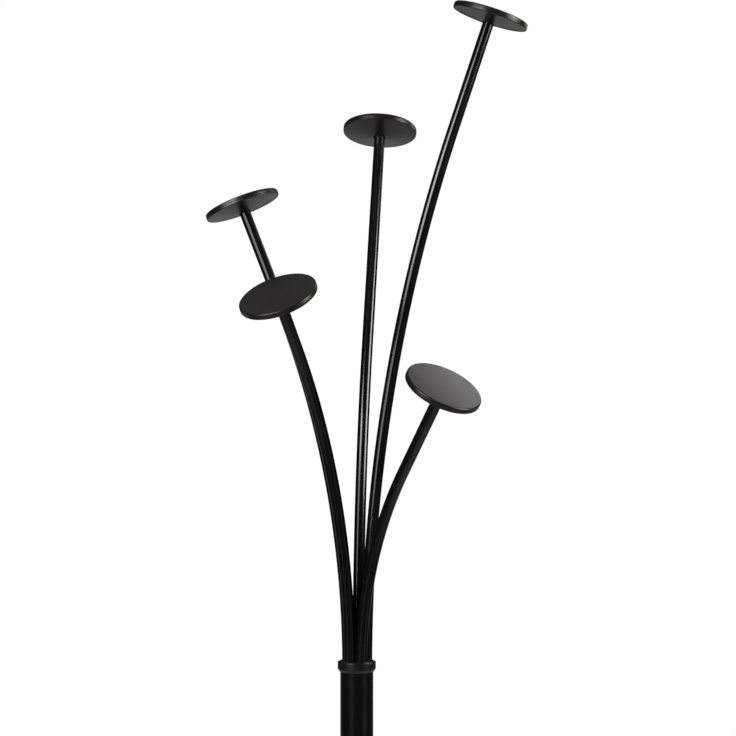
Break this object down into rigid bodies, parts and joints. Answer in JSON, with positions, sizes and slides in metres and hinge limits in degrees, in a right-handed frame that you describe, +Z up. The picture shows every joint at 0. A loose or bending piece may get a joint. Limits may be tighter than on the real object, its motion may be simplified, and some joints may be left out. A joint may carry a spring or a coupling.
{
  "type": "coat stand",
  "caption": "Free-standing coat stand with a weighted round base, a jointed tubular pole and a collared cluster of bent branches ending in flat round heads for coats and hats.",
  "frame": {"origin": "on the floor, under the pole's axis, at the centre of the round base", "axes": "+Z up along the pole; +X to the right and -Y towards the viewer of the stand's usual front, so the tallest branch leans to +X"},
  "size_m": [0.375, 0.375, 1.8855],
  "materials": {
    "cover_plastic": "fine-textured black moulding",
    "cement": "cast cement",
    "plate_paint": "black primer",
    "zinc_steel": "zinc plated",
    "spring_steel": "oiled spring steel",
    "pad_rubber": "moulded black rubber",
    "trim_plastic": "satin black moulding",
    "pole_paint": "satin black powder coat",
    "hub_nylon": "black nylon",
    "branch_paint": "semi-gloss black powder coat",
    "head_plastic": "satin black moulding"
  },
  "bodies": {
    "root": {"base_cover": "cover_plastic", "base_ballast": "cement", "base_plate": "plate_paint", "base_plate_screws": "zinc_steel", "foot_pads": "pad_rubber", "base_bolt": "zinc_steel", "base_bolt_washer": "zinc_steel", "base_bolt_spring_washer": "spring_steel", "pole_foot_ring": "trim_plastic", "pole_foot_plug": "zinc_steel", "lower_pole_tube": "pole_paint", "joint_lower_plug": "zinc_steel", "joint_stud": "zinc_steel", "joint_ring": "trim_plastic", "joint_upper_plug": "zinc_steel", "upper_pole_tube": "pole_paint", "crown_hub": "hub_nylon", "crown_collar": "trim_plastic", "crown_lock_screw": "spring_steel", "arm_tall": "branch_paint", "arm_back": "branch_paint", "arm_left": "branch_paint", "arm_front_left": "branch_paint", "arm_front_right": "branch_paint", "arm_foot_studs": "zinc_steel", "arm_spring_washers": "spring_steel", "arm_nuts": "zinc_steel", "arm_tip_plugs": "zinc_steel", "head_studs": "zinc_steel", "head_tall": "head_plastic", "head_back": "head_plastic", "head_left": "head_plastic", "head_front_left": "head_plastic", "head_front_right": "head_plastic"}
  },
  "joints": []
}
